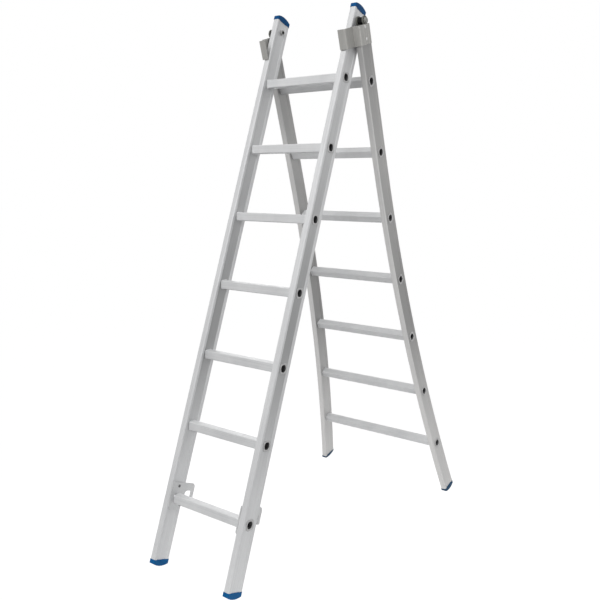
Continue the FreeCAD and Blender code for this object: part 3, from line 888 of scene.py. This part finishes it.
@dataclass
class Pivots:
    """The rollers on their bolts: rounded rollers, washers, chamfered heads, nuts and threads.

    Sizes are in mm, and distances run outwards from the ladder's middle.

    Attributes:
        section: The section that the bolts go through.
        bolt, end: Radius of a bolt, and where it ends.
        flats: Width of heads and nuts across their flats.
        chamfer: Distances from a head's end and the limits of its radius there, as shares of flats.
        head, nut: Where a head and a nut begin and end.
        thread, thread_deep: Pitch and depth of the thread.
        thread_in, tip: How far the thread reaches into the nut, and how much thinner the bolt's end is.
        sink, play: How far a shank and a washer reach into a head, and a washer's play on its bolt.
        washer, washer_thick: Outer radius and thickness of a washer.
        washer_edge: How far its edge is rounded from the rim, and from its inner and outer faces.
        core_shade: Heights of a dark skin of painted shade out of a roller's core, and their
        distances from the flanges.
        roller: Where a roller begins, its core begins and ends, and the roller ends.
        core, flange, bore: Radii of a roller's core, flanges and bore.
        hub, brim, dish: Radius of the raised ring round the bore, width of the flanges' raised brim,
            and depth of the hollow between them.
        soft: Size of the rounding at its edges.
    """

    section: Section
    bolt: float = 5.0
    flats: float = 17.0
    chamfer: Profile = ((1.1, 1.0), (0.75, 0.535), (0.15, 0.49), (0.0, 0.46))
    head: tuple[float, float] = (204.5, 210.5)
    nut: tuple[float, float] = (148.5, 156.5)
    end: float = 146.5
    thread: float = 1.5
    thread_deep: float = 0.55
    thread_in: float = 0.5
    tip: float = 0.9
    sink: float = 0.2
    play: float = 0.3
    washer: float = 10.0
    washer_thick: float = 1.5
    washer_edge: tuple[float, float, float] = (0.4, 0.3, 0.35)
    core_shade: Profile = ((0.05, 0.1), (0.2, 0.3))
    roller: tuple[float, float, float, float] = (175.9, 180.4, 199.6, 204.1)
    core: float = 12.0
    flange: float = 16.0
    bore: float = 5.08
    hub: float = 8.3
    brim: float = 2.6
    dish: float = 0.7
    soft: float = 0.8

    @property
    def centre(self) -> tuple[float, float]:
        """Where the pivot crosses the front section.

        Returns:
            Its Y and Z in the section.
        """
        joint = next(j for j in frame["joints"] if j["name"] == "fold")
        away = np.array(joint["pos_m"]) - self.section.origin
        return 0.0, float(np.hypot(away[1], away[2])) / MM

    def hexagon(self, side: int, low: float, high: float, outwards: int) -> np.ndarray:
        """A hexagon block about the pivot, chamfered at one end, as rings along its length.

        In direction a, the hexagon's edge is flats / 2 / cos(a - nearest flat). Each ring keeps to
        the smaller of that and its own limit, which is less at the chamfered end.

        Args:
            side: 1 on the right, -1 on the left.
            low: Where it begins.
            high: Where it ends.
            outwards: 1 where the chamfered end faces outwards, -1 where it faces the middle.

        Returns:
            A grid of points.
        """
        angle = directions(72)[:, None]
        nearest = np.round(angle / (np.pi / 3)) * (np.pi / 3)
        from_end, share = np.array(self.chamfer).T
        limits = np.concatenate([[0.0, self.flats], self.flats * share, [0.0]])
        levels = np.concatenate([[0.0, 0.0], high - low - from_end, [high - low]])
        radius = np.minimum(self.flats / 2 / np.cos(angle - nearest), limits[None, :])
        across = (low if outwards > 0 else high) + outwards * levels
        return self.round_pivot(side, across[None, :], radius, angle)

    def round_pivot(self, side: int, across: np.ndarray, radius: np.ndarray,
                    angle: np.ndarray) -> np.ndarray:
        """Places points about the pivot's axis.

        Args:
            side: 1 on the right, -1 on the left.
            across: Their distances from the ladder's middle.
            radius: Their distances from the axis.
            angle: Their directions from the axis.

        Returns:
            A grid of points of the ladder.
        """
        back, up = self.centre
        back, up = back + radius * np.cos(angle), up + radius * np.sin(angle)
        return self.section.place(np.stack([side * (across + 0 * angle), back, up], axis=-1))

    def threads(self, side: int) -> np.ndarray:
        """The bolt's threaded end: its radius is a triangle wave of turns, along it and round it.

        Args:
            side: 1 on the right, -1 on the left.

        Returns:
            A grid of points.
        """
        angle = directions(48)[:, None]
        across = np.linspace(self.end, self.nut[0] + self.thread_in, 40)[None, :]
        turn = np.mod(across / self.thread - angle / (2 * np.pi), 1.0)
        radius = self.bolt - self.thread_deep * (1 - np.abs(2 * turn - 1))
        radius[:, 0], radius[:, -1] = 0.0, 0.0
        radius[:, 1] = self.bolt - self.tip
        return self.round_pivot(side, across, radius, angle)

    def roller_profile(self) -> np.ndarray:
        """The roller's outline: a core and two flanges with dished ends.

        Returns:
            Radius and distance from the middle, two numbers for each point.
        """
        inner, step, _, outer = self.roller
        rim, soft, slant, round_off = self.flange, self.soft, 0.3, 0.25
        corner_out, corner_along = 0.4, 0.5
        half = np.array([
            (self.bore, inner), (self.hub, inner), (self.hub + slant, inner + self.dish),
            (rim - self.brim - slant, inner + self.dish), (rim - self.brim, inner),
            (rim - soft, inner), (rim - round_off, inner + round_off), (rim, inner + soft),
            (rim, step - soft), (rim - round_off, step - round_off), (rim - soft, step),
            (self.core + corner_out, step), (self.core, step + corner_along)])
        mirrored = np.column_stack([half[:, 0], inner + outer - half[:, 1]])
        return np.vstack([half, mirrored[::-1]])

    def build(self, steel: Material, zinc: Material, grey: Material, nylon: Material,
              black: Material) -> None:
        """Makes both rollers with painted shade on their cores, washers, heads, nuts and threads.

        Args:
            steel: Finish of the heads and shanks.
            zinc: Finish of the washers.
            grey: Finish of the nuts.
            nylon: Finish of the rollers.
            black: Finish of the painted shade on the rollers' cores, and of the threads.
        """
        heads, nuts = Skin("pivot_bolt_heads"), Skin("pivot_nuts_chamfered")
        washers, threads = Skin("pivot_washers"), Skin("pivot_threads")
        shanks, core_shades = Skin("pivot_shanks"), Skin("pivot_core_shades")
        near, far = self.nut[0] + self.sink, self.head[0] + self.sink
        shank = np.array([(0.0, near), (self.bolt, near), (self.bolt, far), (0.0, far)])
        hole, under = self.bolt + self.play, self.head[0] - self.sink
        over, (rim, inner, outer) = under + self.washer_thick, self.washer_edge
        washer = np.array([(hole, over), (self.washer - rim, over), (self.washer, over - outer),
                           (self.washer, under + inner), (self.washer - rim, under), (hole, under)])
        _, near, far, _ = self.roller
        # Painted shade: a thin dark skin on each roller's core between the flanges.
        rise, start = np.array(self.core_shade).T
        core_shade = np.column_stack([self.core + np.append(rise, rise[::-1]),
                                  np.append(near + start, far - start[::-1])])
        for side, name in ((-1, "left"), (1, "right")):
            heads.add(self.hexagon(side, *self.head, 1), wrap_columns=False)
            nuts.add(self.hexagon(side, *self.nut, -1), wrap_columns=False)
            threads.add(self.threads(side), wrap_columns=False)
            shanks.add(lathed(self.section, side, self.centre, shank, steps=40), wrap_columns=False)
            core_shades.add(lathed(self.section, side, self.centre, core_shade, steps=60))
            washers.add(lathed(self.section, side, self.centre, washer, steps=48))
            roller = Skin(f"pivot_roller_rounded_{name}")
            roller.add(lathed(self.section, side, self.centre, self.roller_profile(), steps=72))
            roller.make(nylon, self.section, "roller", [f"pivot_roller_{name}"], f"roller_{name}")
        heads.make(steel, self.section, "bolt", ["pivot_bolts"])
        shanks.make(steel, self.section, "bolt")
        threads.make(black, self.section, "bolt")
        core_shades.make(black, self.section, "bolt")
        nuts.make(grey, self.section, "zinc", ["pivot_nuts"])
        washers.make(zinc, self.section, "zinc")


# Light, floor and camera -------------------------------------------------------------------------

@dataclass(frozen=True)
class Lamp:
    """A square lamp that faces the middle of the ladder.

    Attributes:
        name: The lamp's name.
        place: Where it hangs, in metres.
        size: Length of its side, in metres.
        power: Its power, in watts.
    """

    name: str
    place: tuple[float, float, float]
    size: float
    power: float

    def build(self) -> None:
        """Hangs the lamp."""
        low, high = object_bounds()
        light = bpy.data.lights.new(self.name, "AREA")
        light.shape, light.size, light.energy = "SQUARE", self.size, self.power
        lamp = put(self.name, light)
        lamp.location = self.place
        aim = (low + high) / 2 - Vector(self.place)
        lamp.rotation_euler = aim.to_track_quat("-Z", "Y").to_euler()


@dataclass(frozen=True)
class Studio:
    """A pale floor without a horizon, a white surround and soft lamps.

    Attributes:
        lamps: The lamps: a large one, one on the other side and one behind the ladder.
        ambient: Strength of the surround for diffuse light.
        painted_light_pool: Brightness of the floor under the ladder and further out: a painted pool
        of light, which lights the ladder's lower parts from below.
        pool: Distances from the middle between which that changes, in metres.
        glow: Strength of the white that the floor shows where it is seen.
        glow_share: Share of that white in what is seen.
        reach: How far the floor reaches, in metres.
        below: How far it lies under the feet, in metres.
    """

    lamps: tuple[Lamp, ...] = (Lamp("key", (0.5, -3.1, 3.3), 2.4, 91.0),
                               Lamp("fill", (2.5, 0.4, 1.5), 1.4, 14.0),
                               Lamp("back", (-1.9, 3.0, 1.6), 2.4, 42.0))
    ambient: float = 0.25
    painted_light_pool: tuple[float, float] = (0.95, 0.08)
    pool: tuple[float, float] = (0.7, 1.4)
    glow: float = 1.16
    glow_share: float = 0.86
    reach: float = 40.0
    below: float = 0.0005

    def seen(self, nodes: Nodes) -> Socket:
        """Tells rays from the camera, reflections and glass from diffuse light.

        Args:
            nodes: The material's or world's nodes.

        Returns:
            The socket, which is 1 for the first three and 0 for diffuse light.
        """
        path = nodes.add("LightPath")
        either = nodes.maths("MAXIMUM", path.outputs["Is Camera Ray"], path.outputs["Is Glossy Ray"])
        return nodes.maths("MAXIMUM", either, path.outputs["Is Transmission Ray"])

    def surround(self) -> None:
        """Sets the world: white where it is seen, and dimmer where it lights the ladder."""
        world = bpy.data.worlds.new("surround")
        bpy.context.scene.world = world
        nodes = Nodes(world)
        background = nodes.add("Background")
        strength = nodes.spread(self.seen(nodes), self.ambient, 1.0, 0.0, 1.0)
        nodes.join(strength, background.inputs["Strength"])
        background.inputs["Color"].default_value = WHITE
        nodes.join(background.outputs["Background"], nodes.add("OutputWorld").inputs["Surface"])

    def floor(self) -> None:
        """Lays the floor, which only the looks use."""
        low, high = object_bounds()
        middle, corner = (low + high) / 2, np.array([-self.reach, self.reach])
        grid = np.stack(np.meshgrid(middle.x + corner, middle.y + corner, [low.z - self.below],
                                    indexing="ij"), axis=-1)
        mesh = bpy.data.meshes.new("floor")
        mesh.from_pydata(grid.reshape(-1, 3).tolist(), [], [(0, 2, 3, 1)])
        mesh.materials.append(self.floor_finish())
        put("floor", mesh)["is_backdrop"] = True

    def floor_finish(self) -> Material:
        """The floor's material: matt with a painted pool of light, mostly white of its own where seen.

        Returns:
            The material.
        """
        nodes = Nodes(bpy.data.materials.new("floor"))
        matt, glow, mixed = nodes.add("BsdfDiffuse"), nodes.add("Emission"), nodes.add("MixShader")
        away = nodes.add("VectorMath", operation="LENGTH")
        nodes.join(nodes.place(), away.inputs[0])
        # Painted pool of light: the matt colour is brightest under the ladder.
        shade = nodes.spread(away.outputs["Value"], *self.painted_light_pool, *self.pool)
        nodes.join(shade, matt.inputs["Color"])
        glow.inputs["Color"].default_value = WHITE
        glow.inputs["Strength"].default_value = self.glow
        share = nodes.spread(self.seen(nodes), 0.0, self.glow_share, 0.0, 1.0)
        nodes.join(share, mixed.inputs["Fac"])
        nodes.join(matt.outputs["BSDF"], mixed.inputs[1])
        nodes.join(glow.outputs["Emission"], mixed.inputs[2])
        nodes.join(mixed.outputs["Shader"], nodes.add("OutputMaterial").inputs["Surface"])
        return nodes.owner

    def build(self) -> None:
        """Sets up the surround, the floor and the lamps."""
        self.surround()
        self.floor()
        for lamp in self.lamps:
            lamp.build()
        bpy.context.scene.view_settings.view_transform = "Standard"
        LOG.info("surround, floor and %d lamps", len(self.lamps))


@dataclass(frozen=True)
class Viewpoint:
    """The camera's place and aim.

    Attributes:
        eye: Its place, in metres.
        yaw: Its turn to the left of +Y, in degrees.
        pitch: Its aim above the level, in degrees.
        roll: Its turn about its own axis, in degrees.
        lens: Focal length, in mm, on a sensor 36 mm wide.
        shift: How far the picture is shifted, as shares of its width.
    """

    eye: tuple[float, float, float] = (1.56063, -2.15249, 1.24861)
    yaw: float = 36.393
    pitch: float = -8.772
    roll: float = 1.008
    lens: float = 43.10
    shift: tuple[float, float] = (-0.0063, 0.0092)

    def build(self) -> None:
        """Makes the camera and sets it as the scene's."""
        yaw, pitch, roll = (math.radians(angle) for angle in (self.yaw, self.pitch, self.roll))
        ahead = Vector((-math.sin(yaw) * math.cos(pitch), math.cos(yaw) * math.cos(pitch),
                        math.sin(pitch)))
        right = Vector((math.cos(yaw), math.sin(yaw), 0.0))
        upright = right.cross(ahead)
        turned_right = right * math.cos(roll) + upright * math.sin(roll)
        turned_up = upright * math.cos(roll) - right * math.sin(roll)
        data = bpy.data.cameras.new("camera")
        data.sensor_width, data.lens = 36.0, self.lens
        data.shift_x, data.shift_y = self.shift
        data.clip_start, data.clip_end = 0.05, 100.0
        camera = put("camera", data)
        camera.matrix_world = (Matrix.Translation(self.eye)
                               @ Matrix((turned_right, turned_up, -ahead)).transposed().to_4x4())
        bpy.context.scene.camera = camera


# The whole ladder --------------------------------------------------------------------------------

@dataclass(frozen=True)
class Ladder:
    """Both sections, dressed.

    Attributes:
        front: The front section.
        rear: The rear section.
    """

    front: Section = FRONT
    rear: Section = REAR

    def paint(self, finish: Aluminium | Moulded, word: str) -> None:
        """Gives a finish to nodes of the frame.

        Args:
            finish: The finish.
            word: What the nodes' names hold.
        """
        material = finish.build()
        for name, node in frame["nodes"].items():
            if word in name:
                for slot in node.material_slots:
                    slot.material = material
                LOG.info("%s: %s", name, finish.name)

    def dress_metal(self) -> None:
        """Gives the stiles, plates and brackets their finishes."""
        # Painted shade in the grooves and at the rear stiles' top; painted light at the front grooves'
        # ends.
        self.paint(Aluminium("front_stile_satin", (0.75, 0.755, 0.76), (0.63, 0.635, 0.645),
                             groove=(1.02, 0.56, 1.08)), "front_stile")
        self.paint(Aluminium("rear_stile_satin", (0.76, 0.755, 0.745), (0.64, 0.635, 0.63),
                             section=self.rear, groove=(0.90, 0.48, 0.84), top=0.62,
                             shade_band=(28.0, 29.0, 3.0)), "rear_stile")
        self.paint(Aluminium("pressed_plate", (0.72, 0.725, 0.73), (0.60, 0.605, 0.61), 0.48,
                             run=Run.EVEN, lines=260.0), "hook_plate")
        self.paint(Aluminium("bracket_dull", (0.475, 0.47, 0.45), (0.365, 0.36, 0.345), 0.5,
                             section=self.rear), "guide_bracket")

    def dress_plastic(self) -> None:
        """Gives the feet and caps their blue plastic, with painted shade on the caps and rear feet."""
        # Painted shade: the caps and rear feet get darker copies of the one blue.
        for name, light, dark, word in (
                ("blue_plastic", (0.004, 0.138, 0.37), (0.002, 0.100, 0.29), "front_foot"),
                ("blue_plastic_cap_shaded", (0.003, 0.095, 0.28), (0.002, 0.070, 0.22), "cap"),
                ("blue_plastic_rear_shaded", (0.006, 0.070, 0.16), (0.004, 0.052, 0.12), "rear_foot")):
            self.paint(Moulded(name, light, dark, gloss=0.10), word)

    def add_rungs(self) -> None:
        """Puts the ribbed rungs into both sections."""
        # Painted shade for the insides of the rung tubes.
        shade = Moulded("painted_shade_bore", (0.26, 0.26, 0.265), (0.18, 0.18, 0.185), 0.6,
                        gloss=0.10).build()
        rims = Aluminium("rim_dull", (0.56, 0.56, 0.56), (0.46, 0.46, 0.46), run=Run.EVEN).build()
        # The rear rungs get painted shade towards their section's top.
        for section, top in ((self.front, 1.0), (self.rear, 0.68)):
            finish = Aluminium(f"{section.part.value}_rung_satin", (0.82, 0.825, 0.83),
                               (0.68, 0.685, 0.695), metallic=0.12, section=section,
                               run=Run.ALONG_THE_RUNG, top=top)
            Rungs(section).build(finish.build(), rims, shade)

    def add_fasteners(self) -> None:
        """Adds the rivets, and the pivots with their bolts."""
        dark = Steel("dark_rivet", (0.16, 0.16, 0.165), (0.09, 0.09, 0.095), metallic=0.7)
        bright = Steel("bright_rivet", (0.66, 0.66, 0.65), (0.52, 0.52, 0.52), metallic=0.6)
        Rivets("hook_plate_rivets", self.front, ((0.0, 41.0), (21.5, -23.0)), face=151.0,
               outwards=-1).build(dark.build(), "plate")
        Rivets("bracket_rivets", self.rear, ((0.0, 1679.0), (0.0, 1640.0)), face=211.0,
               outwards=1, radius=5.4).build(bright.build(), "bracket")
        bolt = Steel("dull_bolt", (0.30, 0.30, 0.285), (0.19, 0.19, 0.18), 0.40, 0.6)
        zinc = Steel("zinc_plate", (0.50, 0.50, 0.48), (0.36, 0.36, 0.35), metallic=0.85)
        nut = Steel("grey_nut", (0.40, 0.40, 0.395), (0.31, 0.31, 0.305), 0.5, 0.4)
        nylon = Moulded("grey_nylon", (0.20, 0.20, 0.18), (0.14, 0.14, 0.125), 0.5, gloss=0.3)
        # Painted shade for the rollers' cores; the threads are black as well.
        black = Moulded("black_shade_and_threads", (0.016, 0.016, 0.016), (0.008, 0.008, 0.008), 0.6,
                        gloss=0.05)
        Pivots(self.front).build(*(finish.build() for finish in (bolt, zinc, nut, nylon, black)))


def main() -> None:
    """Dresses the ladder, then sets up the studio and the camera."""
    logging.basicConfig(level=logging.INFO, format="%(name)s: %(message)s")
    ladder = Ladder()
    ladder.dress_metal()
    ladder.dress_plastic()
    ladder.add_rungs()
    ladder.add_fasteners()
    Studio().build()
    Viewpoint().build()


if __name__ == "__main__":
    main()
